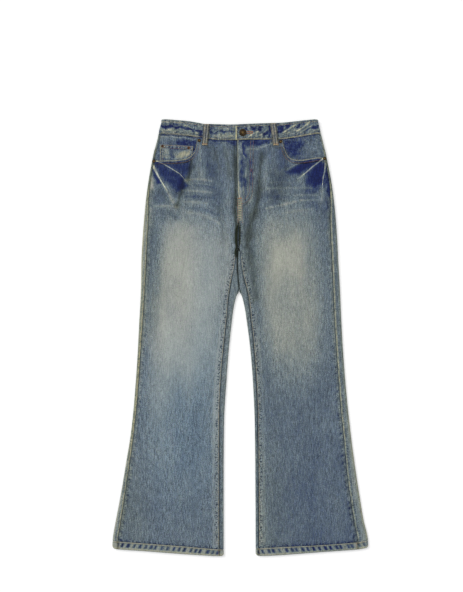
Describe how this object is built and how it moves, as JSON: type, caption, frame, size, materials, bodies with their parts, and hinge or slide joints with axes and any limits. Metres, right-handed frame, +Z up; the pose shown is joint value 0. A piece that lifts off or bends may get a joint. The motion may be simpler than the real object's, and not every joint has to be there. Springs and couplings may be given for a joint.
{
  "type": "bootcut jeans",
  "caption": "Bootcut jeans laid flat with the front up: fronts with scooped pockets, yoked back with patch pockets, buttoned waistband, belt loops and turned-up hems.",
  "frame": {"origin": "middle of the outline, on the surface that the jeans lie on", "axes": "+Y up the legs to the waist, +X to the wearer's left as the front is seen, +Z up out of the front"},
  "size_m": [0.6016, 1.0257, 0.0124],
  "materials": {
    "denim": "washed twill with faded thighs and dark indigo patches",
    "facing_denim": "less washed twill in the pocket mouths",
    "zip_tape": "plain tape",
    "dark_brass": "antique, dark",
    "copper": "antique copper"
  },
  "bodies": {
    "root": {"front_right": "denim", "front_left": "denim", "back_right": "denim", "back_left": "denim", "yoke_right": "denim", "yoke_left": "denim", "back_pocket_right": "denim", "back_pocket_left": "denim", "pocket_facing_right": "facing_denim", "pocket_facing_left": "facing_denim", "coin_pocket": "facing_denim", "waistband": "denim", "belt_loop_front_right": "denim", "belt_loop_front_left": "denim", "belt_loop_back_right": "denim", "belt_loop_back_centre": "denim", "belt_loop_back_left": "denim", "hem_right": "denim", "hem_left": "denim", "fly_zip": "zip_tape", "button": "dark_brass", "rivet_pocket_right_inner": "dark_brass", "rivet_pocket_right_outer": "dark_brass", "rivet_pocket_left_inner": "dark_brass", "rivet_pocket_left_outer": "dark_brass", "rivet_coin_outer": "copper", "rivet_coin_inner": "copper"}
  },
  "joints": []
}
